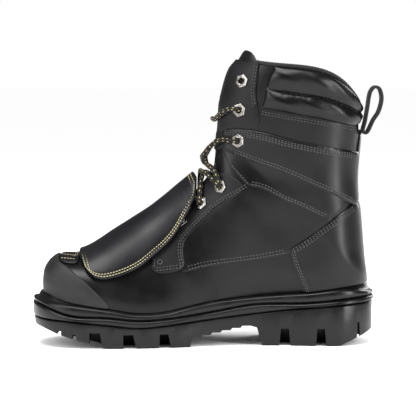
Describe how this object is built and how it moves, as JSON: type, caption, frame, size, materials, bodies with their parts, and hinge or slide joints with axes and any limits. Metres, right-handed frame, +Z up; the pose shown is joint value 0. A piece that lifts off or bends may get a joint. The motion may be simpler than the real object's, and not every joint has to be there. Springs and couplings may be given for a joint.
{
  "type": "metatarsal guard boot",
  "caption": "Black leather work boot with lug sole, rubber toe bumper, padded collar and a domed leather guard over the instep.",
  "frame": {"origin": "on the floor under the middle of the boot's box", "axes": "toe to -X, heel to +X, inner side of the foot to -Y, +Z up"},
  "size_m": [0.323, 0.1192, 0.2707],
  "materials": {
    "sole_rubber": "moulded black rubber, satin",
    "bumper_rubber": "matt moulded rubber",
    "footbed": "black felted foam",
    "nickel": "nickel plated",
    "lace": "woven black lace with pale flecks",
    "webbing": "black ribbed webbing",
    "pad_leather": "soft padded black leather",
    "leather": "black full grain leather, satin"
  },
  "bodies": {
    "root": {"ankle_ridge_inner": "leather", "ankle_ridge_outer": "leather", "back_stay": "leather", "collar_binding": "webbing", "collar_pad": "pad_leather", "counter": "leather", "eyelet_inner_1": "nickel", "eyelet_inner_2": "nickel", "eyelet_inner_3": "nickel", "eyelet_inner_4": "nickel", "eyelet_inner_5": "nickel", "eyelet_inner_6": "nickel", "eyelet_outer_1": "nickel", "eyelet_outer_2": "nickel", "eyelet_outer_3": "nickel", "eyelet_outer_4": "nickel", "eyelet_outer_5": "nickel", "eyelet_outer_6": "nickel", "eyestay_inner": "leather", "eyestay_outer": "leather", "guard_tab": "leather", "insole": "footbed", "lace_bar": "lace", "lace_crossing_1": "lace", "lace_crossing_2": "lace", "lace_crossing_3": "lace", "lower_eyestay_inner": "leather", "lower_eyestay_outer": "leather", "met_guard": "leather", "midsole": "sole_rubber", "outsole": "sole_rubber", "pull_loop": "webbing", "rivet_inner": "nickel", "rivet_outer": "nickel", "toe_bumper": "bumper_rubber", "tongue": "pad_leather", "upper": "leather"}
  },
  "joints": []
}
